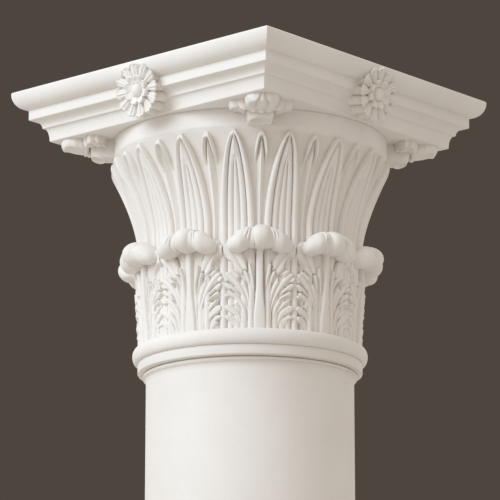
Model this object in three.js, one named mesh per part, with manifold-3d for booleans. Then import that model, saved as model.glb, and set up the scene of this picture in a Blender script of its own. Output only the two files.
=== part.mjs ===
// A cast plaster column capital on the plain top of its round shaft: a flaring bell with one row of
// acanthus leaves below and a ring of tall water leaves above, under a square moulded abacus with a
// rosette in the middle of each side and a leaf bracket under each corner. Millimetres, +Z up, the
// origin at the middle of the shaft's cut underside, the abacus faces along X and Y.
import * as THREE from "three";
import { mergeVertices } from "three/addons/utils/BufferGeometryUtils.js";
import Module from "manifold-3d";

// ---------------------------------------------------------------- driving dimensions
const GAP = 0.3; // left between two pieces that touch

const SHAFT_R = 125; // plain shaft
const SHAFT_LENGTH = 157; // plain stretch below the astragal's hollow
const BEAD = { r: 128.9, low: 165, high: 169.8 };
const FILLET = { r: 135.2, low: 171.7, high: 183.2 };
const TORUS = { r: 141.9, high: 201.5, topR: 134.4 };
const SHAFT_SIDES = 36;

const SOFFIT_Z = 458; // underside of the abacus
const ABACUS_TOP = 519.2;
const LOW_HALF = 173.3; // half side at the soffit
const STEP = { half: 178.6, z: 474.2, out: 1.2, up: 0.9 };
const FASCIA = { half: 191.6, low: 485, high: 497.2, nib: 2.2 };
const TOP_HALF = 207.1;
const EDGE_ROUND = 1.4;

const BELL_LOW = TORUS.high + GAP;
const COLLAR = { r: 167.5, low: 436.9 };
const FLARE_LOW = 326; // where the straight drum starts to flare
const DRUM_R = 131.2; // ground of the carving at the flare's start
const DRUM_FOOT_R = 129.6;
const FLARE_POWER = 1.5;

const BELL_TURN = -45 + 1; // the bell sits a degree off the abacus diagonal

const TALL_LEAVES = 16; // tall water leaves, with a slender one between each two
const TALL_PITCH = 360 / TALL_LEAVES;
const TALL_TIP_Z = 431;
const TALL_HALF_DEG = 8.6;
const LIP_RELIEF = 10; // how far the leaf tips stand off the bell
const STEM_RELIEF = 5.6; // of the water leaves' rims where the flare starts
const STRIP_RELIEF = 1.6; // of the stems in the strips between the acanthus leaves

const LEAVES = 10; // acanthus leaves in the lower row
const LEAF_PITCH = 360 / LEAVES;
const LEAF_HALF_DEG = 16.6;
const LEAF_TOP = 304;
const LEAF_BACK = 1.5; // how deep a leaf is rooted in the bell
const CURL = { r: 145, z: 306, out: 13.6, back: 17, high: 14.4, droop: 14, halfDeg: 15.4 };

const ROSETTE = { petals: 12, r: 33.8, x: 199.5, z: 484.5, lean: 13, cup: 6, depth: 36 };
const BRACKET = { tip: 230, reach: 39, back: 150, deepBack: 21.5, deepTip: 11, tab: 17 };

const PLASTER = { color: 0xe9e4dc, roughness: 0.62, metalness: 0 };

// ---------------------------------------------------------------- helpers
const wasm = await Module();
wasm.setup();

const rad = THREE.MathUtils.degToRad;
const lerp = THREE.MathUtils.lerp;
const clamp01 = (x) => Math.min(1, Math.max(0, x));
const smooth = (a, b, x) => THREE.MathUtils.smoothstep(x, a, b);

const polar = (r, degrees, z) =>
  new THREE.Vector3(r * Math.cos(rad(degrees)), r * Math.sin(rad(degrees)), z);

// A closed body through rings of equally many points, each ring running anticlockwise seen from the
// far end, with a fan over the first and the last ring.
function ringSolid(rings) {
  const count = rings[0].length;
  const centre = (ring) =>
    ring.reduce((sum, p) => sum.add(p), new THREE.Vector3()).divideScalar(count);
  const points = [...rings.flat(), centre(rings[0]), centre(rings.at(-1))];
  const index = [];
  for (let i = 0; i + 1 < rings.length; i++) {
    for (let j = 0; j < count; j++) {
      const a = i * count + j;
      const b = i * count + ((j + 1) % count);
      index.push(a, b, b + count, a, b + count, a + count);
    }
  }
  const first = rings.length * count;
  const last = (rings.length - 1) * count;
  for (let j = 0; j < count; j++) {
    const next = (j + 1) % count;
    index.push(first, next, j);
    index.push(first + 1, last + j, last + next);
  }
  return new THREE.BufferGeometry().setFromPoints(points).setIndex(index);
}

function toManifold(geometry) {
  const bare = geometry.clone();
  bare.deleteAttribute("normal");
  bare.deleteAttribute("uv");
  const merged = mergeVertices(bare, 1e-4);
  return new wasm.Manifold(
    new wasm.Mesh({
      numProp: 3,
      vertProperties: merged.attributes.position.array,
      triVerts: new Uint32Array(merged.index.array),
    }),
  );
}

function toGeometry(solid) {
  const mesh = solid.getMesh();
  const geometry = new THREE.BufferGeometry();
  geometry.setAttribute("position", new THREE.BufferAttribute(mesh.vertProperties, 3));
  geometry.setIndex(new THREE.BufferAttribute(mesh.triVerts, 1));
  return geometry;
}

// Points of a quarter of an ellipse from one end to the other; bow +1 bulges out, -1 is hollow.
function quarter(from, to, steps, bow) {
  return Array.from({ length: steps + 1 }, (_, i) => {
    const t = (i / steps) * (Math.PI / 2);
    const across = bow > 0 ? Math.sin(t) : 1 - Math.cos(t);
    const up = bow > 0 ? 1 - Math.cos(t) : Math.sin(t);
    return new THREE.Vector2(lerp(from.x, to.x, across), lerp(from.y, to.y, up));
  });
}

const v2 = (x, y) => new THREE.Vector2(x, y);

// ---------------------------------------------------------------- shaft top with its astragal
function shaftHead() {
  const hollow = quarter(v2(SHAFT_R, SHAFT_LENGTH), v2(BEAD.r, BEAD.low), 2, -1);
  const torusMid = (FILLET.high + TORUS.high) / 2;
  const torusHalf = (TORUS.high - FILLET.high) / 2;
  const torusSteps = 5;
  const torus = Array.from({ length: torusSteps + 1 }, (_, i) => {
    const t = (i / torusSteps - 0.5) * Math.PI;
    const foot = lerp(FILLET.r, TORUS.topR, i / torusSteps);
    const out = (TORUS.r - foot) * Math.cos(t);
    return v2(foot + out, torusMid + torusHalf * Math.sin(t));
  });
  const profile = [
    v2(0, 0),
    v2(SHAFT_R, 0),
    ...hollow,
    v2(BEAD.r, BEAD.high),
    v2(BEAD.r - 2.2, BEAD.high + 0.6),
    v2(FILLET.r - 1, FILLET.low),
    ...torus,
    v2(0, TORUS.high),
  ];
  return new THREE.LatheGeometry(profile, SHAFT_SIDES).rotateX(Math.PI / 2);
}

// ---------------------------------------------------------------- abacus
// The moulding's profile as half side against height, from the soffit to the flat top.
function abacusProfile() {
  const cove = quarter(v2(LOW_HALF, SOFFIT_Z), v2(STEP.half, STEP.z), 3, -1);
  const hollow = quarter(
    v2(STEP.half + STEP.out, STEP.z + STEP.up),
    v2(FASCIA.half - FASCIA.nib, FASCIA.low - 0.8),
    3,
    -1,
  );
  const ovolo = quarter(
    v2(FASCIA.half + 0.4, FASCIA.high),
    v2(TOP_HALF, ABACUS_TOP - EDGE_ROUND),
    5,
    1,
  );
  return [
    ...cove,
    ...hollow,
    v2(FASCIA.half, FASCIA.low),
    ...ovolo,
    v2(TOP_HALF - EDGE_ROUND, ABACUS_TOP),
  ];
}

const squareRing = (half, z) =>
  [45, 135, 225, 315].map((corner) => polar(half * Math.SQRT2, corner, z));

const abacusSolid = (grow) =>
  ringSolid(abacusProfile().map((p, i) => squareRing(p.x + grow, p.y - (i === 0 ? grow : 0))));

// ---------------------------------------------------------------- bell and its two leaf rows
const groundR = (z) => {
  const flare = clamp01((z - FLARE_LOW) / (COLLAR.low - FLARE_LOW)) ** FLARE_POWER;
  const foot = clamp01((FLARE_LOW - z) / (FLARE_LOW - BELL_LOW));
  return lerp(DRUM_R, COLLAR.r, flare) - (DRUM_R - DRUM_FOOT_R) * foot;
};

// Half width of a tall water leaf: straight-sided below, closing to a point.
const tallHalf = (z) => {
  const s = clamp01((z - FLARE_LOW) / (TALL_TIP_Z - FLARE_LOW));
  return TALL_HALF_DEG * (1 - s ** 1.6) ** 0.75;
};

// Half a pitch of the water leaves, from a slender leaf's middle to the tall leaf's middle: where each
// column stands and how high the carving is on it.
function waterColumns(z) {
  const w = tallHalf(z) + 0.15;
  const mid = TALL_PITCH / 2;
  const rise = smooth(FLARE_LOW, TALL_TIP_Z, z);
  const tip = 1 - smooth(TALL_TIP_Z - 2, COLLAR.low, z);
  const rim = z < LEAF_TOP ? STRIP_RELIEF : lerp(STEM_RELIEF, LIP_RELIEF, rise) * tip;
  const groove = rim * lerp(0.45, 0.3, rise);
  const small = rim * lerp(0.6, 0.85, rise);
  return [
    [0, small],
    [mid - w - 0.5, 0],
    [mid - 0.8 * w, rim],
    [mid - 0.42 * w, groove],
    [mid, rim * 0.85],
  ];
}

const WATER_ROWS = [BELL_LOW, LEAF_TOP - 4, FLARE_LOW, 372, 408, TALL_TIP_Z];

function waterLeafBell() {
  const ringAt = (half, z) => {
    const mirrored = half.slice(1, -1).reverse();
    const pitch = [...half, ...mirrored.map(([a, h]) => [TALL_PITCH - a, h])];
    return Array.from({ length: TALL_LEAVES }, (_, k) =>
      pitch.map(([a, h]) => polar(groundR(z) + h, k * TALL_PITCH + a, z)),
    ).flat();
  };
  const rings = WATER_ROWS.map((z) => ringAt(waterColumns(z), z));
  const evenColumns = Array.from({ length: 5 }, (_, j) => [(j / 8) * TALL_PITCH, 0]);
  const collar = [COLLAR.low, SOFFIT_Z - GAP].map((z) => ringAt(evenColumns, z));
  return toManifold(ringSolid([...rings, ...collar]));
}

// One acanthus leaf: three tiers of side lobes scallop its outline, its veins fan outward as each
// tier rises, and a double midrib runs up its middle.
const LEAF_ROWS = [
  { z: BELL_LOW, tier: 0.88, lift: 0 },
  { z: 228, tier: 1, lift: 1 },
  { z: 231, tier: 0.8, lift: 0 },
  { z: 255, tier: 1, lift: 1 },
  { z: 258, tier: 0.76, lift: 0 },
  { z: 285, tier: 0.97, lift: 1 },
  { z: LEAF_TOP, tier: 0.8, lift: 0.5 },
];

function leafSolid(middle) {
  const rings = LEAF_ROWS.map(({ z, tier, lift }) => {
    const w = LEAF_HALF_DEG * tier;
    const fan = lerp(0.85, 1.12, lift);
    const body = lerp(4.6, 7.2, smooth(BELL_LOW, LEAF_TOP, z));
    const half = [
      [1.7, body + 2.4],
      [4.4, body - 1.8],
      [0.7 * w * fan, body + 1.6],
      [w, -LEAF_BACK],
    ];
    const right = half.map(([a, h]) => polar(groundR(z) + h, middle + a, z));
    const left = half.map(([a, h]) => polar(groundR(z) + h, middle - a, z)).reverse();
    return [...left, polar(groundR(z) + body + 0.6, middle, z), ...right];
  });
  return toManifold(ringSolid(rings));
}

// The leaf's curled-over top: a fat roll that follows the bell round, drooping and thinning sideways,
// and rooted in the bell all along.
function curlSolid(middle) {
  const sections = 9;
  const sides = 6;
  const rings = Array.from({ length: sections }, (_, i) => {
    const u = (2 * i) / (sections - 1) - 1;
    const size = Math.sqrt(1 - (0.82 * u) ** 2);
    const fold = 1 + 0.07 * Math.cos(u * Math.PI * 3);
    const z = CURL.z - CURL.droop * Math.abs(u) ** 1.8;
    return Array.from({ length: sides }, (_, k) => {
      const t = (k / sides) * 2 * Math.PI;
      const reach = Math.cos(t) > 0 ? CURL.out * size * fold : CURL.back;
      const r = CURL.r - (1 - size) * 4 * clamp01(Math.cos(t)) + reach * Math.cos(t);
      return polar(r, middle - u * CURL.halfDeg, z + CURL.high * size * fold * Math.sin(t));
    });
  });
  return toManifold(ringSolid(rings));
}

function bell() {
  let solid = waterLeafBell();
  for (let k = 0; k < LEAVES; k++) {
    const middle = k * LEAF_PITCH;
    solid = solid.add(leafSolid(middle)).add(curlSolid(middle));
  }
  return toGeometry(solid);
}

// ---------------------------------------------------------------- rosettes
// A two-tier daisy on a fluted cone, looking out along +X and leaning a little forward, cut to sit on
// the moulding behind it. Its own axis is X through the origin until it is put in place.
function rosette() {
  const { petals, r, x: front, z, lean, cup, depth } = ROSETTE;
  const columns = petals * 2;
  const ring = (x, tipR, valleyR, curl = 0) =>
    Array.from({ length: columns }, (_, j) => {
      const t = rad((j / columns) * 360);
      const radius = j % 2 ? valleyR : tipR;
      return new THREE.Vector3(j % 2 ? x : x + curl, radius * Math.cos(t), radius * Math.sin(t));
    });
  const rings = [
    ring(-depth, r * 0.78, r * 0.7),
    ring(cup - 3.6, r * 0.99, r * 0.84, 1.4),
    ring(cup - 2.6, r * 0.97, r * 0.8, 2.6),
    ring(cup - 6.4, r * 0.47, r * 0.45, 1.4),
    ring(cup - 2.2, r * 0.45, r * 0.37, 1.4),
    ring(cup - 6, r * 0.28, r * 0.28),
    ring(cup - 2.6, r * 0.19, r * 0.19),
  ];
  const flower = ringSolid(rings).rotateY(rad(lean)).translate(front, 0, z);
  return toManifold(flower).subtract(toManifold(abacusSolid(GAP)));
}

// ---------------------------------------------------------------- corner brackets
// A three-lobed leaf that clings to the soffit along +X, from the collar out towards the corner.
function cornerBracket() {
  const { tip, reach, back, deepBack, deepTip, tab } = BRACKET;
  const top = SOFFIT_Z - GAP;
  const stations = [
    { x: back, half: tab, deep: deepBack },
    { x: 176, half: tab, deep: deepBack },
    { x: 182, half: tab + 2, deep: deepBack - 1.5 },
    { x: 188, half: reach * 0.86, deep: 14.5 },
    { x: 196, half: reach, deep: 15.5 },
    { x: 203, half: reach * 0.8, deep: 13 },
    { x: 206, half: reach * 0.56, deep: 14.5 },
    { x: 214, half: reach * 0.64, deep: 14.5 },
    { x: 222, half: reach * 0.5, deep: 13.5 },
    { x: tip, half: reach * 0.2, deep: deepTip },
  ];
  // across the underside: a fat middle rib, a groove each side and a rolled edge
  const across = [
    [-1, 0.55],
    [-0.72, 0.86],
    [-0.4, 0.7],
    [0, 1],
    [0.4, 0.7],
    [0.72, 0.86],
    [1, 0.55],
  ];
  const rings = stations.map(({ x, half, deep }) => [
    ...across.map(([v, share]) => new THREE.Vector3(x, v * half, top - deep * share)),
    new THREE.Vector3(x, half * 0.96, top),
    new THREE.Vector3(x, -half * 0.96, top),
  ]);
  const collar = new THREE.CylinderGeometry(COLLAR.r + GAP, COLLAR.r + GAP, 200, 96)
    .rotateX(Math.PI / 2)
    .translate(0, 0, SOFFIT_Z);
  return toManifold(ringSolid(rings)).subtract(toManifold(collar));
}

// ---------------------------------------------------------------- assembly
const capital = new THREE.Group();

function place(name, geometry, turnDegrees = 0) {
  const mesh = new THREE.Mesh(geometry, new THREE.MeshStandardMaterial(PLASTER));
  mesh.name = name;
  mesh.rotation.z = rad(turnDegrees);
  capital.add(mesh);
}

place("shaft_head", shaftHead());
place("bell", bell(), BELL_TURN);
place("abacus", abacusSolid(0));
["east", "north", "west", "south"].forEach((side, k) => {
  place(`rosette_${side}`, toGeometry(rosette()), k * 90);
});
["north_east", "north_west", "south_west", "south_east"].forEach((corner, k) => {
  place(`corner_leaf_${corner}`, toGeometry(cornerBracket()), 45 + k * 90);
});

export default capital;
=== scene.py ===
"""A cast plaster column capital on the plain top of its shaft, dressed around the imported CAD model.

Shapes are worked out in millimetres, in the frame's own axes, and become metres when a mesh is made.
Angles are in degrees from +X, anticlockwise seen from above.
"""
import math

import bpy
import numpy as np
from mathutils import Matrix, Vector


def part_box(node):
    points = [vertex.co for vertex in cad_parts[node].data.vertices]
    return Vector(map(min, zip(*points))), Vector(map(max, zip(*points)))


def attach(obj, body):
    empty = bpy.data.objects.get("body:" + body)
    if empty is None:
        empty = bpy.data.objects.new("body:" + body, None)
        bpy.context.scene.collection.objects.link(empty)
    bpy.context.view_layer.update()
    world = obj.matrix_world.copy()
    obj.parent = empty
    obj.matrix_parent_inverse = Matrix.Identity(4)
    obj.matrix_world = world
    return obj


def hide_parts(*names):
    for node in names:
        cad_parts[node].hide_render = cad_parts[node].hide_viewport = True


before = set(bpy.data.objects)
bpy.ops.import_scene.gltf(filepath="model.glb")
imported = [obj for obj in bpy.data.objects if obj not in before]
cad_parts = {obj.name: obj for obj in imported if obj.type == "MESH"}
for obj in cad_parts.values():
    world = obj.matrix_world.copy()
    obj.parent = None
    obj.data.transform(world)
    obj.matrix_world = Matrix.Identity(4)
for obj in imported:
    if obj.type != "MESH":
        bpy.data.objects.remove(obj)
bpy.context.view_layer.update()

MM = 0.001  # a millimetre in metres


# ---------------------------------------------------------------- the frame's own sizes
def box_mm(node):
    low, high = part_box(node)
    return np.array(low) / MM, np.array(high) / MM


SHAFT_LOW = box_mm("shaft_head")[0][2]
TORUS_R = box_mm("shaft_head")[1][0]
TORUS_TOP = box_mm("shaft_head")[1][2]
BELL_LOW = box_mm("bell")[0][2]
BELL_TOP = box_mm("bell")[1][2]
SOFFIT = box_mm("abacus")[0][2]
ABACUS_TOP = box_mm("abacus")[1][2]
TOP_HALF = box_mm("abacus")[1][0]

# ---------------------------------------------------------------- driving dimensions, mm
SHAFT_R = 125.0
CAVETTO_LOW = 157.0  # where the shaft begins to curve out to its bead
BEAD_R = 128.9
BEAD_MIDDLE = 167.6
BEAD_HALF = 2.2
FILLET_R = 135.2
FILLET_LOW = 170.2
TORUS_LOW = 183.2
TORUS_FOOT_R = 134.4  # radius at which the torus ends on top

COLLAR_R = 167.5
COLLAR_LOW = 436.9
FLARE_LOW = 326.0  # where the bell begins to flare
FLARE_POWER = 1.5
DRUM_R = 131.2  # radius of the bell's ground below the flare
DRUM_FOOT_R = 129.6

ABACUS_LOW_HALF = 173.3  # half widths of the abacus at its lower edge, its step and its fascia
ABACUS_STEP_HALF = 178.6
FASCIA_HALF = 191.6
ABACUS_STEP = 474.2  # heights of its step and of the fascia's two edges
FASCIA_LOW = 485.0
FASCIA_HIGH = 497.2
ABACUS_EASE = 0.9  # radius of its upright edges

BELL_TURN = -44.0  # leaf 0 stands this far round from +X
TALL_LEAVES = 16
TALL_PITCH = 360 / TALL_LEAVES
TALL_TIP = 431.6
TALL_ROLL = 416.0  # where the tall leaves' tips begin to roll back
TALL_HALF = 8.9  # half width of a tall leaf in degrees, where the flare starts
CREST_FOOT = 330.0  # the leaves' relief grows from this height to the next
CREST_FULL = 414.0
CREST_LOW = 5.6  # relief of the tall leaves' rims at their foot, and what it gains
CREST_GAIN = 5.0
SLENDER_TIP = 431.0
SLENDER_ROLL = 420.0  # where a slender leaf's tip begins to roll back
SLENDER_NECK = 396.0  # where a slender leaf begins to close to its point
SLENDER_HOOD = 423.5  # where its hood closes over its rib
SLENDER_HALF = 3.1
CARVING_TOP = TALL_TIP + 0.9  # where the water leaves' carving has died out
TIPS_LOW = 390.0  # above this the bell's rows stand close, for the leaves' tips

LEAVES = 10
LEAF_PITCH = 360 / LEAVES
LEAF_R = 131.5  # radius at which the leaf's own millimetres are measured
LEAF_HALF = 41.0  # half width of an acanthus leaf
LEAF_TALL = 106.0
FOOT_SUNK = 0.8  # how far the carving runs down into the torus below


# ---------------------------------------------------------------- small helpers
def clamp01(x):
    return np.clip(x, 0.0, 1.0)


def smooth(a, b, x):
    t = clamp01((x - a) / (b - a))
    return t * t * (3 - 2 * t)


def mix(a, b, t):
    return a + (b - a) * t


def hump(x, width):
    """A smooth hump, 1 where x is 0, that falls away over about the width."""
    return np.exp(-((x / width) ** 2))


def polar(r, degrees, z):
    """Points at radius r and height z, stacked on a last axis."""
    a = np.radians(degrees)
    r, a, z = np.broadcast_arrays(r, a, z)
    return np.stack([r * np.cos(a), r * np.sin(a), z], axis=-1)


def ground_r(z):
    """Radius of the bell's plain ground behind the carving."""
    flare = clamp01((z - FLARE_LOW) / (COLLAR_LOW - FLARE_LOW)) ** FLARE_POWER
    foot = clamp01((FLARE_LOW - z) / (FLARE_LOW - BELL_LOW))
    return mix(DRUM_R, COLLAR_R, flare) - (DRUM_R - DRUM_FOOT_R) * foot


def quarter(start, end, steps, bow):
    """Points of a quarter of an ellipse; bow 1 bulges outward, -1 is hollow."""
    t = np.linspace(0, math.pi / 2, steps + 1)
    across, up = (np.sin(t), 1 - np.cos(t)) if bow > 0 else (1 - np.cos(t), np.sin(t))
    return np.stack([mix(start[0], end[0], across), mix(start[1], end[1], up)], axis=-1)


# ---------------------------------------------------------------- meshes
def grid_quads(rows, columns, closed):
    """Quads over a grid of points laid row by row; a closed one joins the last column to the first."""
    spans = columns if closed else columns - 1
    i, j = np.meshgrid(np.arange(rows - 1), np.arange(spans), indexing="ij")
    k = (j + 1) % columns
    low, high = i * columns, (i + 1) * columns
    return np.stack([low + j, low + k, high + k, high + j], -1).reshape(-1, 4)


class Shape:
    """Points and faces gathered into one mesh."""

    def __init__(self):
        self.points = []
        self.quads = []
        self.tris = []
        self.count = 0

    def add(self, points, quads=(), tris=()):
        points = np.asarray(points, float).reshape(-1, 3)
        self.points.append(points)
        self.quads.append(np.asarray(quads, int).reshape(-1, 4) + self.count)
        self.tris.append(np.asarray(tris, int).reshape(-1, 3) + self.count)
        self.count += len(points)

    def rings(self, rings):
        """A closed body through rings of equally many points, with a fan over both ends."""
        rings = np.asarray(rings, float)
        rows, columns = rings.shape[:2]
        ends = np.stack([rings[0].mean(0), rings[-1].mean(0)])
        first = rows * columns
        j = np.arange(columns)
        k = (j + 1) % columns
        low = np.stack([np.full(columns, first), k, j], -1)
        high = np.stack([np.full(columns, first + 1), j + first - columns, k + first - columns], -1)
        self.add(
            np.concatenate([rings.reshape(-1, 3), ends]),
            grid_quads(rows, columns, True),
            np.concatenate([low, high]),
        )

    def patch(self, front, back_centre):
        """A grid of points as a front, closed behind by a fan from its rim to one point."""
        rows, columns = front.shape[:2]
        index = np.arange(rows * columns).reshape(rows, columns)
        rim = np.concatenate([index[0], index[1:, -1], index[-1, -2::-1], index[-2:0:-1, 0]])
        after = np.roll(rim, -1)
        fan = np.stack([after, rim, np.full(len(rim), rows * columns)], -1)
        self.add(
            np.concatenate([front.reshape(-1, 3), np.reshape(back_centre, (1, 3))]),
            grid_quads(rows, columns, False),
            fan,
        )

    def turned(self, degrees):
        a = math.radians(degrees)
        turn = np.array([[math.cos(a), math.sin(a), 0], [-math.sin(a), math.cos(a), 0], [0, 0, 1]])
        other = Shape()
        other.add(
            np.concatenate(self.points) @ turn,
            np.concatenate(self.quads),
            np.concatenate(self.tris),
        )
        return other


def make_piece(name, shape, nodes, sharp):
    """The shape as a Blender object that rides on the root body and stands for CAD nodes. Edges that
    turn by more than the angle sharp, in degrees, stay crisp."""
    points = np.concatenate(shape.points) * MM
    quads = np.concatenate(shape.quads)
    tris = np.concatenate(shape.tris)
    corners = np.concatenate([quads.ravel(), tris.ravel()])
    starts = np.concatenate([np.arange(len(quads)) * 4, len(quads) * 4 + np.arange(len(tris)) * 3])
    mesh = bpy.data.meshes.new(name)
    mesh.vertices.add(len(points))
    mesh.vertices.foreach_set("co", points.astype(np.float32).ravel())
    mesh.loops.add(len(corners))
    mesh.loops.foreach_set("vertex_index", corners.astype(np.int32))
    mesh.polygons.add(len(starts))
    mesh.polygons.foreach_set("loop_start", starts.astype(np.int32))
    mesh.update(calc_edges=True)
    mesh.validate()
    mesh.shade_smooth()
    mesh.set_sharp_from_angle(angle=math.radians(sharp))
    mesh.materials.append(PLASTER)
    piece = bpy.data.objects.new(name, mesh)
    bpy.context.scene.collection.objects.link(piece)
    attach(piece, "root")
    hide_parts(*nodes)
    return piece


# ---------------------------------------------------------------- material
def plaster_material():
    """Matt off-white paint over plaster, with painted shade that makes it a little warmer and darker in the
    hollows.
    """
    material = bpy.data.materials.new("painted_plaster")
    material.use_nodes = True
    tree = material.node_tree
    nodes, links = tree.nodes, tree.links
    shader = nodes["Principled BSDF"]
    shader.inputs["Roughness"].default_value = 0.62
    shader.inputs["Specular IOR Level"].default_value = 0.32

    coordinates = nodes.new("ShaderNodeTexCoord")

    def noise(scale, detail, roughness):
        node = nodes.new("ShaderNodeTexNoise")
        node.inputs["Scale"].default_value = scale
        node.inputs["Detail"].default_value = detail
        node.inputs["Roughness"].default_value = roughness
        links.new(coordinates.outputs["Object"], node.inputs["Vector"])
        return node.outputs["Fac"]

    def ramp(source, stops):
        node = nodes.new("ShaderNodeValToRGB")
        for element, (place, colour) in zip(node.color_ramp.elements, stops):
            element.position = place
            element.color = (*colour, 1)
        links.new(source, node.inputs["Fac"])
        return node.outputs["Color"]

    def multiply(a, b, factor):
        node = nodes.new("ShaderNodeMix")
        node.data_type = "RGBA"
        node.blend_type = "MULTIPLY"
        node.inputs["Factor"].default_value = factor
        links.new(a, node.inputs["A"])
        links.new(b, node.inputs["B"])
        return node.outputs["Result"]

    clouds = noise(scale=9, detail=4, roughness=0.55)
    broad = ramp(clouds, [(0.3, (0.80, 0.765, 0.715)), (0.72, (0.86, 0.83, 0.785))])
    specks = noise(scale=260, detail=3, roughness=0.6)
    fine = ramp(specks, [(0.25, (0.95, 0.94, 0.93)), (0.7, (1.0, 1.0, 1.0))])
    colour = multiply(broad, fine, 0.5)
    # painted shade: hollows found by Pointiness are tinted warmer and darker, as if shade fell there
    geometry = nodes.new("ShaderNodeNewGeometry")
    hollow = ramp(geometry.outputs["Pointiness"], [(0.40, (0.80, 0.75, 0.68)), (0.50, (1.0, 1.0, 1.0))])
    links.new(multiply(colour, hollow, 0.55), shader.inputs["Base Color"])

    bump = nodes.new("ShaderNodeBump")
    bump.inputs["Strength"].default_value = 0.22
    bump.inputs["Distance"].default_value = 0.0006
    links.new(noise(scale=420, detail=5, roughness=0.62), bump.inputs["Height"])
    links.new(bump.outputs["Normal"], shader.inputs["Normal"])
    return material


PLASTER = plaster_material()


# ---------------------------------------------------------------- shaft top with its astragal
def shaft_shape():
    """The shaft and its astragal: a hollow curve out to a small bead, then a fillet and a torus."""
    cavetto = quarter((SHAFT_R, CAVETTO_LOW), (BEAD_R - 0.4, BEAD_MIDDLE - 2.6), 6, -1)
    t = np.linspace(-math.pi / 2, math.pi / 2, 9)
    bead = np.stack([BEAD_R + BEAD_HALF * (np.cos(t) - 1), BEAD_MIDDLE + BEAD_HALF * np.sin(t)], -1)
    fillet = [
        (BEAD_R - 2.6, FILLET_LOW),
        (FILLET_R - 1.2, FILLET_LOW + 1.0),
        (FILLET_R - 0.3, FILLET_LOW + 1.4),
        (FILLET_R, FILLET_LOW + 2.1),
        (FILLET_R, TORUS_LOW - 0.8),
        (FILLET_R - 0.5, TORUS_LOW - 0.2),
    ]
    t = np.linspace(-math.pi / 2, math.pi / 2, 29)
    middle = (TORUS_LOW + TORUS_TOP) / 2
    foot = mix(FILLET_R, TORUS_FOOT_R, (np.sin(t) + 1) / 2)
    torus_r = foot + (TORUS_R - foot) * np.cos(t) ** 0.85
    torus = np.stack([torus_r, middle + (TORUS_TOP - TORUS_LOW) / 2 * np.sin(t)], -1)
    shaft = [(SHAFT_R - 0.8, SHAFT_LOW), (SHAFT_R, SHAFT_LOW + 0.8), (SHAFT_R, 60), (SHAFT_R, 120)]
    profile = np.concatenate([shaft, cavetto, bead[1:], fillet, torus[1:]])
    sides = 128
    angles = np.arange(sides) * 360 / sides
    shape = Shape()
    shape.rings(polar(profile[:, :1], angles[None, :], profile[:, 1:]))
    return shape


# ---------------------------------------------------------------- abacus
def abacus_shape():
    """The square moulding: a hollow, a step, a second hollow, the fascia and a round out to the top."""
    step = (ABACUS_STEP_HALF, ABACUS_STEP)
    over_step = (ABACUS_STEP_HALF + 1.2, ABACUS_STEP + 0.9)
    profile = np.concatenate(
        [
            [(ABACUS_LOW_HALF - 0.8, SOFFIT), (ABACUS_LOW_HALF, SOFFIT + 0.7)],
            quarter((ABACUS_LOW_HALF + 0.1, SOFFIT + 1.4), step, 10, -1),
            [(ABACUS_STEP_HALF + 1.0, ABACUS_STEP + 0.3)],
            quarter(over_step, (FASCIA_HALF - 2.2, FASCIA_LOW - 0.9), 12, -1),
            [(FASCIA_HALF - 0.4, FASCIA_LOW - 0.4), (FASCIA_HALF, FASCIA_LOW + 0.2)],
            [(FASCIA_HALF, FASCIA_HIGH - 0.5), (FASCIA_HALF + 0.3, FASCIA_HIGH)],
            quarter((FASCIA_HALF + 0.5, FASCIA_HIGH + 0.2), (TOP_HALF, ABACUS_TOP - 2.0), 14, 1),
            [(TOP_HALF - 0.2, ABACUS_TOP - 0.9)],
            [(TOP_HALF - 0.9, ABACUS_TOP - 0.1), (TOP_HALF - 2.2, ABACUS_TOP)],
        ]
    )
    # each ring is a square whose corners are eased by a small arc
    steps = np.array([0, 45, 90])
    rings = []
    for half, z in profile:
        corners = []
        for quarter_turn in range(4):
            mid = math.radians(45 + 90 * quarter_turn)
            centre = (half - ABACUS_EASE) * math.sqrt(2) * np.array([math.cos(mid), math.sin(mid)])
            a = np.radians(90 * quarter_turn + steps)
            arc = centre + ABACUS_EASE * np.stack([np.cos(a), np.sin(a)], -1)
            corners.append(np.concatenate([arc, np.full((len(steps), 1), z)], -1))
        rings.append(np.concatenate(corners))
    shape = Shape()
    shape.rings(rings)
    return shape


# ---------------------------------------------------------------- bell with its water leaves
def lancet(z, foot_half, tip):
    """Half width in degrees of a pointed leaf that closes at the height tip."""
    s = clamp01((z - FLARE_LOW) / (tip - FLARE_LOW))
    return foot_half * (1 - s**1.75) ** 0.7


def crest_relief(z):
    """How far the tall leaves' rims stand off the ground: growing upward, then rolling back at the tips."""
    grown = clamp01((z - CREST_FOOT) / (CREST_FULL - CREST_FOOT))
    back = clamp01((z - TALL_ROLL) / (CARVING_TOP - TALL_ROLL))
    return (CREST_LOW + CREST_GAIN * grown**1.5) * np.sqrt(1 - back**2)


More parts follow.
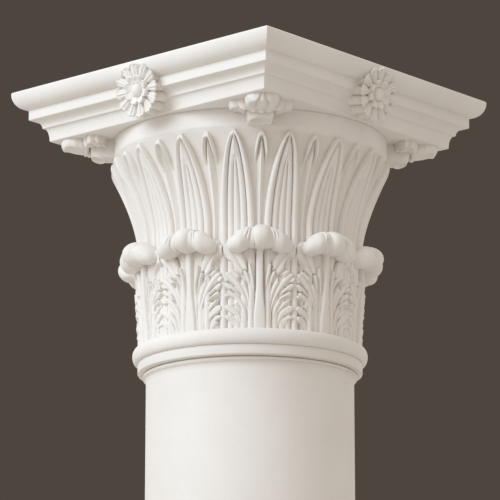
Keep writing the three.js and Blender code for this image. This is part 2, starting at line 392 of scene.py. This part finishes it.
def water_section(z):
    """Half a pitch at height z, from a slender leaf's middle to a tall leaf's middle: the places where
    the carving turns, in degrees, its height there, how many columns lead up to each place, and whether
    they follow a round."""
    mid = TALL_PITCH / 2

    # the tall leaf: inside its rim a groove, then an inner leaf with a vein, each closing lower down
    crest = crest_relief(z)
    outline = lancet(z, TALL_HALF, TALL_TIP)
    groove = lancet(z, TALL_HALF * 0.57, TALL_TIP - 6.4)
    inner = lancet(z, TALL_HALF * 0.38, TALL_TIP - 11)
    vein = lancet(z, TALL_HALF * 0.19, TALL_TIP - 29)
    groove_open = smooth(TALL_TIP - 5, TALL_TIP - 9, z)
    inner_open = smooth(TALL_TIP - 9, TALL_TIP - 16, z)
    vein_open = smooth(TALL_TIP - 27, TALL_TIP - 40, z)
    edge = mid - outline

    # the slender leaf: a thick pointed hood over a spear-shaped rib; its rims fade out lower down
    closing = clamp01((z - SLENDER_NECK) / (SLENDER_TIP - SLENDER_NECK))
    half = min(SLENDER_HALF * (1 - closing**2.2) ** 0.6, edge - 0.35)
    rims = smooth(SLENDER_NECK - 4, SLENDER_NECK + 16, z)
    full = crest_relief(min(z, CREST_FULL))
    back = clamp01((z - SLENDER_ROLL) / (SLENDER_TIP - SLENDER_ROLL))
    small = 0.86 * full * math.sqrt(1 - back**2)
    hood = smooth(SLENDER_HOOD - 1, SLENDER_HOOD + 1, z)
    spear = clamp01((z - SLENDER_NECK) / (SLENDER_HOOD - SLENDER_NECK))
    rib_half = min(1.75 * (1 - spear**1.5) ** 0.8 + 0.12, half * 0.72)
    rib = mix(0.78, 0.62, smooth(SLENDER_NECK - 1, 340, z)) * full * (1 - 0.35 * spear**3)
    trough = 0.12 * small * rims

    return [
        (0.0, mix(rib, small, hood), 0, False),
        (rib_half, mix(trough, small * 0.98, hood), 3, False),
        (mix(rib_half, half, 0.55), mix(trough, small, rims), 2, True),
        (half, 0.0, 3, True),
        (edge, 0.0, 2, False),
        (mid - mix(groove, outline, 0.5), crest, 4, True),
        (mid - groove, mix(crest, crest * 0.16, groove_open), 4, True),
        (mid - inner, mix(crest, crest * 0.80, groove_open), 3, True),
        (mid - vein, mix(crest * 0.9, crest * 0.46, vein_open * inner_open), 2, True),
        (mid, mix(crest, crest * 0.76, inner_open), 2, True),
    ]


def section_columns(section, least=0.03):
    """Angles and heights of every column of a section, no two closer than least. A round stretch is a
    quarter circle, upright in the hollow and level on the crest; the others are straight."""
    places = np.array([place for place, _, _, _ in section])
    for i in range(1, len(places)):
        places[i] = max(places[i], places[i - 1] + least * section[i][2])
    if places[-1] > section[-1][0]:
        places *= section[-1][0] / places[-1]
    angles, relief = [places[0]], [section[0][1]]
    for i in range(1, len(places)):
        low = section[i - 1][1]
        _, high, steps, is_round = section[i]
        for step in range(1, steps + 1):
            across = ease = step / steps
            if is_round:
                a = across * math.pi / 2
                if high > low:
                    across, ease = 1 - math.cos(a), math.sin(a)
                else:
                    across, ease = math.sin(a), 1 - math.cos(a)
            angles.append(mix(places[i - 1], places[i], across))
            relief.append(mix(low, high, ease))
    return np.array(angles), np.array(relief)


def bell_shape():
    """The bell's ground with its ring of tall and slender water leaves, up to the top of the collar."""
    heights = np.concatenate(
        [
            [BELL_LOW - FOOT_SUNK, 240, 285, 300, 312, 320, FLARE_LOW],
            np.arange(CREST_FOOT, TIPS_LOW, 3.0),
            np.arange(TIPS_LOW, 434, 0.54),
            [COLLAR_LOW - 2.5, COLLAR_LOW - 1.1, COLLAR_LOW],
        ]
    )
    rings = []
    for z in heights:
        angles, relief = section_columns(water_section(z))
        # up to the tips every column follows the carving; above them the columns even out
        even = np.linspace(0, TALL_PITCH / 2, len(angles))
        angles = mix(angles, even, smooth(CARVING_TOP, COLLAR_LOW, z))
        pitch = np.concatenate([angles, TALL_PITCH - angles[-2:0:-1]])
        lift = np.concatenate([relief, relief[-2:0:-1]])
        around = np.arange(TALL_LEAVES)[:, None] * TALL_PITCH + pitch[None, :]
        radius = ground_r(z) + np.tile(lift, TALL_LEAVES)
        rings.append(polar(radius, around.ravel(), z))
    columns = len(rings[0])
    even = np.arange(columns) * 360 / columns
    for z in (COLLAR_LOW + 0.4, COLLAR_LOW + 10.1, BELL_TOP):
        rings.append(polar(COLLAR_R, even, z))
    shape = Shape()
    shape.rings(rings)
    return shape.turned(BELL_TURN)


# ---------------------------------------------------------------- acanthus leaves
def bezier(points, steps=16):
    t = np.linspace(0, 1, steps)[:, None]
    p0, p1, p2, p3 = (np.asarray(p, float) for p in points)
    return (1 - t) ** 3 * p0 + 3 * (1 - t) ** 2 * t * p1 + 3 * (1 - t) * t**2 * p2 + t**3 * p3


def along_path(u, v, path):
    """For each point of a grid: how far along the path it lies, how far to the path's side, and the
    path's length. Past its end the path runs straight on."""
    best = np.full(u.shape, np.inf)
    run = np.zeros(u.shape)
    side = np.zeros(u.shape)
    done = 0.0
    for i in range(len(path) - 1):
        step = path[i + 1] - path[i]
        length = math.hypot(*step)
        dx, dy = step / length
        x, y = u - path[i][0], v - path[i][1]
        t = np.clip(x * dx + y * dy, 0, np.inf if i == len(path) - 2 else length)
        off_x, off_y = x - t * dx, y - t * dy
        distance = np.hypot(off_x, off_y)
        closer = distance < best
        best = np.where(closer, distance, best)
        run = np.where(closer, done + t, run)
        side = np.where(closer, np.copysign(distance, off_x * dy - off_y * dx), side)
        done += length
    return run, side, done


def leaf_crest(v):
    """How far the leaf's crests stand off the ground, by height up the leaf."""
    return 5.4 + 0.040 * v


DUG = 0.4  # height that the dug lines between the lobes go down to
BURIED = -1.5  # height of what lies hidden under the bell's ground
BODY_HALF = 34.0  # half width of the leaf's body under its lobes
EYE_FLOOR = -0.8  # height of the bottom of a drilled eye


def lay(height, inside, top, dig=2.0):
    """Lay a form over the carving: a steep round wall inside its outline, a dug line just outside."""
    wall = np.sqrt(1 - (1 - clamp01(inside / 2.4)) ** 2)
    dug = clamp01(1 + inside / dig) ** 1.5
    under = mix(height, np.minimum(height, DUG), dug)
    return np.where(inside > 0, DUG + (top - DUG) * wall, under)


# The lobes on each side of a leaf, in the leaf's own millimetres, from the back to the front: a path's
# four control points, its half widths from root to tip, and how many fingers the lobe is fluted into.
LOBES = [
    {"path": [(6.5, 14), (8, 50), (19, 76), (40, 101)], "widths": [1.4, 2.8, 5.6, 9.4, 10.4], "fingers": 2},
    {"path": [(11, -3), (12.5, 28), (19, 50), (39, 66)], "widths": [2.4, 3.6, 7.2, 9.8, 8.6], "fingers": 3},
    {"path": [(15, -3), (16, 24), (24, 42), (40, 53)], "widths": [1.5, 2.0, 3.2, 4.2, 3.4], "fingers": 1},
    {"path": [(15.5, -3), (17, 18), (22, 31), (39, 42)], "widths": [2.0, 3.2, 5.8, 6.4, 5.0], "fingers": 2},
    {"path": [(20, -3), (21.5, 10), (27, 21), (40, 26)], "widths": [2.0, 3.0, 4.4, 4.8, 3.8], "fingers": 1},
    {"path": [(25.5, -3), (27, 6), (31, 13), (40, 13)], "widths": [2.2, 3.4, 4.6, 4.6, 3.8], "fingers": 1},
    {"path": [(9.6, -3), (7.0, 30), (7.4, 56), (12, 77)], "widths": [1.5, 1.3, 1.8, 3.0, 2.2], "fingers": 1},
    {"path": [(9.5, 34), (10, 48), (13, 60), (17.5, 68)], "widths": [0.9, 1.6, 2.5, 2.4], "fingers": 1},
]

# drilled eyes between the lobes: place, half length, half width and the tilt of its length in degrees
EYES = [
    (33.0, 77.5, 5.0, 2.1, 62),
    (31.0, 35.2, 5.4, 1.7, 22),
    (24.0, 59.0, 2.6, 1.5, 60),
    (36.6, 9.6, 3.0, 1.3, 8),
]
LEFT_EYES = [(33.5, 74.5, 3.6, 2.3, 50), (32.0, 33.0, 3.8, 2.2, 20), (21.5, 56.0, 2.2, 1.6, 70)]


def lay_lobe(height, u, v, path, widths, fingers):
    """Lay one lobe over the carving: it widens along its path and is fluted into round-ended fingers."""
    run, off, length = along_path(u, v, bezier(path))
    s = clamp01(run / length)
    width = np.interp(s, np.linspace(0, 1, len(widths)), widths)
    across = off / width
    finger = np.abs(np.sin(fingers * math.pi * (across + 1) / 2))
    reach = length - run - 2.2 * (1 - finger) - 0.35 * width * across**2
    inside = np.minimum(width * (1 - np.abs(across)), reach)
    flute = 1.9 * (1 - finger**0.7) * smooth(0.15, 0.45, s) * (fingers > 1)
    top = leaf_crest(v) * np.interp(s, [0, 0.5, 0.85, 1], [0.66, 0.80, 1.08, 1.16]) - flute
    return lay(height, inside, top)


def ellipse_reach(u, v, long, wide, tilt):
    """Distance from the middle of an ellipse, 1 on its edge; its length is tilted by so many degrees."""
    c, s = math.cos(math.radians(tilt)), math.sin(math.radians(tilt))
    return np.hypot((u * c + v * s) / long, (v * c - u * s) / wide)


def leaf_relief(u, v):
    """Height of the carving of one acanthus leaf over the bell's ground."""
    body = 2.0 + 2.4 * smooth(35, 85, v)
    height = np.where(np.abs(u) < BODY_HALF, body, BURIED)
    for side in (-1, 1):
        for form in LOBES:
            lobed = lay_lobe(height, u * side, v, form["path"], form["widths"], form["fingers"])
            height = np.where(u * side > 0, lobed, height)
        for x, y, long, wide, tilt in EYES if side > 0 else LEFT_EYES:
            reach = ellipse_reach(u * side - x, v - y, long, wide, tilt)
            height = np.minimum(height, EYE_FLOOR + 7 * np.maximum(reach - 0.8, 0))
    rib_half = mix(7.6, 4.5, smooth(6, 50, v))
    rib = leaf_crest(v) * 1.16 - 0.8 * (u / rib_half) ** 2
    height = lay(height, rib_half - np.abs(u), rib, dig=1.6)
    # the top of the leaf swells forward to meet the curl
    swell = smooth(90, LEAF_TALL, v) * (1 - (u / LEAF_HALF) ** 2 * 0.7)
    return np.maximum(height, 11.5 * swell - 2.0)


def leaf_patch(shape):
    """The carved face of a leaf, closed inside the bell."""
    columns, rows = 125, 162
    u = np.linspace(-LEAF_HALF, LEAF_HALF, columns)
    v = np.linspace(-FOOT_SUNK, LEAF_TALL, rows)
    u, v = np.meshgrid(u, v)
    z = BELL_LOW + v
    height = np.where(np.abs(u) < LEAF_HALF - 0.4, leaf_relief(u, v), BURIED)
    front = polar(ground_r(z) + height, np.degrees(u / LEAF_R), z)
    shape.patch(front, (LEAF_R - 16, 0, BELL_LOW + LEAF_TALL / 2))


CURL_R = 145.0  # radius and height of the middle of the curled-over leaf tops
CURL_Z = 307.4
CURL_ARC = 152.0  # radius at which their own millimetres round the bell are measured
CURL_BACK = 16.0  # how far they reach back into the bell


def roll(shape, across, middle, reach, high):
    """A closed roll round the bell: at each place across it, its middle height, how far it reaches out
    and half its height. Its underside is fuller than its top."""
    sides = 26
    t = np.arange(sides) / sides * 2 * math.pi
    out = np.sign(np.cos(t)) * np.abs(np.cos(t)) ** np.where(np.sin(t) < 0, 0.8, 1.0)
    reach = np.asarray(reach)[:, None]
    back = CURL_BACK * clamp01(reach / 8)
    r = CURL_R + np.where(out > 0, reach, back) * out
    z = np.asarray(middle)[:, None] + np.asarray(high)[:, None] * np.sin(t)
    shape.rings(polar(r, np.degrees(np.asarray(across) / CURL_ARC)[:, None], z)[::-1])


def fold(shape, side, start, sway, middle, reach, high):
    """A thin rounded fold that runs over the front of a curl in an S, thinning at both ends."""
    steps, sides = 22, 8
    t = np.radians(np.linspace(120, -62, steps))[:, None]
    f = (np.arange(sides) / sides * 2 * math.pi)[None, :]
    thick = 1.5 * np.sin(np.linspace(0.12, math.pi - 0.12, steps))[:, None] ** 0.5
    across = side * (start + sway * np.sin(1.7 * t)) + thick * np.cos(f)
    r = CURL_R + (reach + thick * np.sin(f)) * np.cos(t)
    z = middle + (high + thick * np.sin(f)) * np.sin(t)
    shape.rings(polar(r, np.degrees(across / CURL_ARC), z))


def curl(shape):
    """The curled-over top of a leaf: a smooth round nose between two lobes that droop to their ends."""
    t = np.linspace(-1, 1, 27)
    size = np.maximum(1 - np.abs(t) ** 2.5, 0.002) ** 0.42
    roll(shape, 0.8 + 12.6 * t, np.full(t.shape, CURL_Z), 19.5 * size, 14.6 * size)
    for side in (-1, 1):
        # both lobes run the same way round the bell, so that their faces point out
        t = np.linspace(0, 1, 31)[::side]
        end = np.maximum(1 - t**3.2, 0.002) ** 0.5
        size = end * (1 + 0.12 * hump(t - 0.50, 0.17) - 0.12 * hump(t - 0.17, 0.08))
        middle = CURL_Z - 0.8 - 10.5 * t**1.6
        roll(shape, side * mix(8.0, 40.5, t), middle, 15.0 * size, 12.6 * size)
        fold(shape, side, 14.4, -1.6, CURL_Z - 1.0, 14.0, 12.0)
        fold(shape, side, 18.6, -3.0, CURL_Z - 1.6, 14.6, 12.4)


def acanthus_shape():
    shape = Shape()
    leaf_patch(shape)
    curl(shape)
    return shape


# ---------------------------------------------------------------- rosettes
ROSETTE_LOW, ROSETTE_HIGH = box_mm("rosette_east")
ROSETTE_Z = (ROSETTE_LOW[2] + ROSETTE_HIGH[2]) / 2
ROSETTE_R = 33.2
ROSETTE_X = 202.0  # where the petals meet the flower's own axis
ROSETTE_LEAN = 13  # degrees that its top leans forward
OUTER_PETALS = 12
INNER_PETALS = 8
CONE_BACK = -34.0  # how far back the cone behind the petals runs, and its radii in front and behind
CONE_FRONT_R = 27.5
CONE_BACK_R = 33.0
INNER_R = 17.4  # radius of the inner ring of petals
BUTTON_R = 6.9
NO_LIMIT = 1e6


def rosette_shape():
    """A two-tier flower on a fluted cone, looking out along +X: rings from the back of the cone round
    the petals' tips and in to the middle of the button."""
    columns = 240
    theta = np.arange(columns) / columns * 2 * math.pi
    petal = np.abs(np.cos(theta * OUTER_PETALS / 2))  # 1 on a petal's middle, 0 between two
    # each outer petal has a wide middle finger and two narrow ones
    local = np.abs(((theta * OUTER_PETALS / (2 * math.pi) + 0.5) % 1) - 0.5) * 2
    finger = np.abs(np.cos(clamp01(local) * math.pi * 1.5))
    outline = ROSETTE_R * (1 - 0.17 * (1 - petal) ** 1.6 - 0.05 * (1 - finger) * (local < 0.8))
    cup = np.abs(np.cos((theta + math.pi / INNER_PETALS) * INNER_PETALS / 2))
    rings = []

    def ring(rho, x):
        rho, x = np.broadcast_arrays(rho, x, theta)[:2]
        rings.append(np.stack([x, rho * np.cos(theta), rho * np.sin(theta)], -1))

    # the cone, widening backward, with a deep hollow behind each gap between petals
    hollow = 1 - petal**0.8
    for share in np.linspace(1, 0, 7):
        plain = mix(CONE_FRONT_R, CONE_BACK_R, share**1.2)
        ring(plain - mix(7.0, 5.0, share) * hollow, mix(-3.4, CONE_BACK, share))
    # the petals' backs, their rolled tips, and their fronts in to the inner ring
    for rho, x in ((0.90, -1.6), (0.97, -0.6), (1.0, 0.9), (0.99, 2.2), (0.965, 2.9)):
        ring(outline * rho, x - 2.0 * (1 - petal))
    for share in np.linspace(0.93, 0.36, 15):
        dip = 2.4 * (1 - finger**0.6) * smooth(0.38, 0.6, share) * (petal > 0.05)
        gap = 5.5 * (1 - petal) ** 1.6 * smooth(0.34, 0.5, share)
        ring(outline * share + ROSETTE_R * (1 - share) * 0.02, mix(-1.4, 2.9, share**0.9) - dip - gap)
    # the inner ring of cupped petals, tips curling forward
    inner = INNER_R * (1 - 0.26 * (1 - cup) ** 1.5)
    for rho, x in ((0.98, -1.6), (1.03, 1.6), (1.0, 4.2), (0.95, 5.0)):
        ring(inner * rho, x - 2.4 * (1 - cup))
    for share in np.linspace(0.88, 0.54, 7):
        dish = 4.2 * np.sin(clamp01((0.95 - share) / 0.42) * math.pi / 2) * cup**0.5
        ring(inner * share, 5.0 - dish - 4.4 * (1 - cup) ** 1.3)
    # the smooth oval button
    tall = 1 + 0.16 * np.sin(theta) ** 2
    ring((BUTTON_R + 0.7) * tall, -1.0)
    for a in np.radians([4, 16, 30, 45, 60, 75, 86]):
        ring(BUTTON_R * math.cos(a) * tall, -0.2 + 5.8 * math.sin(a))

    # set on the abacus, leaning forward, and held inside the CAD box
    lean = math.radians(ROSETTE_LEAN)
    x, y, z = np.moveaxis(np.array(rings), -1, 0)
    out = ROSETTE_X + x * math.cos(lean) + z * math.sin(lean)
    up = ROSETTE_Z + z * math.cos(lean) - x * math.sin(lean)
    placed = np.minimum(np.stack([out, y, up], -1), [ROSETTE_HIGH[0] - 0.05, NO_LIMIT, ABACUS_TOP - 0.1])
    shape = Shape()
    shape.rings(placed)
    return shape


# ---------------------------------------------------------------- leaves under the abacus corners
TAB_HALF = 16.5  # the stem under the leaf: half its width, its depth and where it ends
TAB_DEEP = 22.0
TAB_END = 195.5
OVAL_X = 185.6  # middle and half sizes of the oval on the stem
OVAL_HALF_X = 8.6
OVAL_HALF_Y = 13.2
FAN_X = 170.0  # the wings' lobes fan out from here
FAN_STEP = 17.0  # degrees from one lobe to the next
WINGS_FROM = 176.0
LEAF_ROOT = 152.0
LEAF_END = 231.0
LEAF_REACH = 41.0  # half width of the whole leaf
SOFFIT_REACH = 243.0  # radius of the soffit's corner, less a little
LEAF_EDGE = 1.0  # depth at which the leaf's rounded edges start
HIDDEN = -1.6  # depth of what lies inside the abacus


def lay_under(depth, inside, deepest, round_mm=5.0):
    """Inside the form's outline, its depth with a rounded edge; outside it, the depth as it was."""
    wall = np.sqrt(1 - (1 - clamp01(inside / round_mm)) ** 2)
    return np.where(inside > 0, mix(LEAF_EDGE, deepest, wall), depth)


def corner_leaf_shape():
    """A leaf that clings to the soffit along +X: a stem with an oval on it, two scalloped wings with
    rolled edges, and a narrower tip. Laid out as depth under the soffit."""
    rows, columns = 118, 91
    x = np.linspace(LEAF_ROOT, LEAF_END + 1.5, rows)[:, None]
    across = np.linspace(-1, 1, columns)[None, :]
    y = across * np.minimum(LEAF_REACH, SOFFIT_REACH - x)
    x, y = np.broadcast_arrays(x, y)
    ay = np.abs(y)
    depth = np.full(x.shape, HIDDEN)

    # the tip leaf, fluted along its length, with three rounded ends
    tip_half = np.interp(x, [196, 206, 214, 222, 228, LEAF_END], [16, 20, 21, 18, 12.5, 5.5])
    finger = np.abs(np.cos(y / tip_half * math.pi * 1.5))
    inside = np.minimum(tip_half - ay, LEAF_END - x - 2.0 * (1 - finger))
    taper = np.interp(x, [200, 212, 222, LEAF_END], [13.0, 11.0, 9.0, 8.0])
    rolled = 1.6 * hump(x - (LEAF_END - 4.5), 3.4)
    flutes = 4.0 * (1 - finger**0.5) * smooth(200, 208, x)
    depth = lay_under(depth, inside, taper + rolled - flutes)

    # the wings: lobes set round a fan, each with a rolled end
    fan = np.degrees(np.arctan2(ay, x - FAN_X))
    far = np.hypot(ay, x - FAN_X)
    lobe = np.abs(np.cos(np.radians(fan * 180 / FAN_STEP)))
    edge = np.interp(fan, [0, 20, 40, 55, 66, 80], [35.0, 36.5, 43.0, 47.0, 42.0, 16.0])
    inside = edge - far - 2.6 * (1 - lobe)
    body = np.interp(ay, [0, 14, 26, 39], [14.6, 12.4, 8.6, 6.6])
    rolled = 3.0 * hump(inside - 3.0, 3.0)
    flutes = 3.6 * (1 - lobe**0.5) * smooth(12, 22, far)
    wings = lay_under(depth, inside, body + rolled - flutes)
    depth = np.where(x > WINGS_FROM, np.maximum(depth, wings), depth)

    # a notch round the stem's edge, then the stem
    inside = np.minimum(TAB_HALF - ay, TAB_END - x)
    notched = (inside > -2.2) & (ay < TAB_HALF + 2)
    depth = np.where(notched, np.minimum(depth, 9.0 - inside), depth)
    stem_deep = np.interp(x, [176, 184, TAB_END], [TAB_DEEP, 20.8, 17.6])
    depth = lay_under(depth, inside, stem_deep, 3.4)

    # the oval: a raised ring round a hollow with a curved lip across it
    ring = np.hypot((x - OVAL_X) / OVAL_HALF_X, y / OVAL_HALF_Y)
    depth = depth + 2.4 * hump(ring - 1.0, 0.15) * (x < TAB_END)
    depth = depth - 5.0 * clamp01(1 - (ring / 0.84) ** 3) * (ring < 0.84)
    lip_x = OVAL_X + 3.2 - 3 * (y / OVAL_HALF_Y) ** 2
    depth = depth + 3.0 * hump(x - lip_x, 1.8) * clamp01(1 - ring)

    surface = np.stack([x, y, SOFFIT - depth], -1)
    surface[0, :, 2] = np.minimum(surface[0, :, 2], SOFFIT - HIDDEN)
    shape = Shape()
    shape.patch(surface, (190, 0, SOFFIT + 3.0))
    return shape


# ---------------------------------------------------------------- build the pieces
make_piece("shaft_top", shaft_shape(), ["shaft_head"], sharp=30)
make_piece("abacus_moulding", abacus_shape(), ["abacus"], sharp=30)
make_piece("bell_water_leaves", bell_shape(), ["bell"], sharp=70)
acanthus = acanthus_shape()
for leaf in range(LEAVES):
    turned = acanthus.turned(BELL_TURN + leaf * LEAF_PITCH)
    make_piece(f"acanthus_leaf_{leaf + 1}", turned, ["bell"], sharp=70)
rosette = rosette_shape()
for quarter_turn, side in enumerate(("east", "north", "west", "south")):
    make_piece(f"flower_{side}", rosette.turned(90 * quarter_turn), [f"rosette_{side}"], sharp=60)
corner_leaf = corner_leaf_shape()
for quarter_turn, corner in enumerate(("north_east", "north_west", "south_west", "south_east")):
    turned = corner_leaf.turned(45 + 90 * quarter_turn)
    make_piece(f"leaf_{corner}", turned, [f"corner_leaf_{corner}"], sharp=60)


# ---------------------------------------------------------------- camera, light and stage
VIEW_AZIMUTH = 41.222  # degrees; 0 looks along +Y
VIEW_PITCH = 13.46  # degrees upward
VIEW_DISTANCE = 3.5414  # metres from the axis
VIEW_HEIGHT = -0.5211
VIEW_LENS = 216  # mm
SENSOR = 36  # mm
LIGHT_AIM = 0.33  # metres; the height that the lights point at
FLOOR_LEVEL = -0.95
FLOOR_HALF = 6.0


def around_axis(azimuth, distance, height):
    """A place in metres, seen from the azimuth round the object's axis."""
    a = math.radians(azimuth)
    return (distance * math.sin(a), -distance * math.cos(a), height)


def add_camera():
    camera = bpy.data.cameras.new("camera")
    camera.lens = VIEW_LENS
    camera.sensor_width = SENSOR
    camera.clip_end = 60
    holder = bpy.data.objects.new("camera", camera)
    holder.location = around_axis(VIEW_AZIMUTH, VIEW_DISTANCE, VIEW_HEIGHT)
    holder.rotation_euler = (math.radians(90 + VIEW_PITCH), 0, math.radians(VIEW_AZIMUTH))
    bpy.context.scene.collection.objects.link(holder)
    bpy.context.scene.camera = holder


def add_light(name, azimuth, distance, height, size, watts, colour):
    light = bpy.data.lights.new(name, "AREA")
    light.shape = "SQUARE"
    light.size = size
    light.energy = watts
    light.color = colour
    holder = bpy.data.objects.new(name, light)
    place = np.array(around_axis(azimuth, distance, height))
    holder.location = place
    toward = np.array([0, 0, LIGHT_AIM]) - place
    flat = math.hypot(toward[0], toward[1])
    holder.rotation_euler = (
        math.atan2(flat, -toward[2]),
        0,
        math.atan2(toward[1], toward[0]) - math.pi / 2,
    )
    bpy.context.scene.collection.objects.link(holder)


def add_stage():
    """A pale floor, low enough to stay out of the view from below."""
    mesh = bpy.data.meshes.new("floor")
    signs = ((-1, -1), (1, -1), (1, 1), (-1, 1))
    corners = [(x * FLOOR_HALF, y * FLOOR_HALF, FLOOR_LEVEL) for x, y in signs]
    mesh.from_pydata(corners, [], [(0, 1, 2, 3)])
    material = bpy.data.materials.new("pale_floor")
    material.use_nodes = True
    shader = material.node_tree.nodes["Principled BSDF"]
    shader.inputs["Base Color"].default_value = (0.62, 0.59, 0.55, 1)
    shader.inputs["Roughness"].default_value = 0.9
    mesh.materials.append(material)
    floor = bpy.data.objects.new("floor", mesh)
    bpy.context.scene.collection.objects.link(floor)


def add_world():
    """An even pale surround that lights the object, seen by the camera as a plain dark wall."""
    world = bpy.data.worlds.new("studio")
    world.use_nodes = True
    tree = world.node_tree
    pale = tree.nodes["Background"]
    pale.inputs["Color"].default_value = (0.69, 0.645, 0.61, 1)
    wall = tree.nodes.new("ShaderNodeBackground")
    wall.inputs["Color"].default_value = (0.0762, 0.0595, 0.0497, 1)
    rays = tree.nodes.new("ShaderNodeLightPath")
    choose = tree.nodes.new("ShaderNodeMixShader")
    tree.links.new(rays.outputs["Is Camera Ray"], choose.inputs["Fac"])
    tree.links.new(pale.outputs["Background"], choose.inputs[1])
    tree.links.new(wall.outputs["Background"], choose.inputs[2])
    tree.links.new(choose.outputs["Shader"], tree.nodes["World Output"].inputs["Surface"])
    bpy.context.scene.world = world


add_camera()
add_stage()
add_world()
add_light(
    "key",
    azimuth=VIEW_AZIMUTH - 52,
    distance=3.2,
    height=1.9,
    size=2.0,
    watts=87,
    colour=(0.77, 0.88, 1.0),
)
add_light(
    "back",
    azimuth=VIEW_AZIMUTH + 180,
    distance=2.6,
    height=3.4,
    size=2.0,
    watts=40,
    colour=(0.85, 0.92, 1.0),
)
bpy.context.scene.view_settings.view_transform = "Standard"
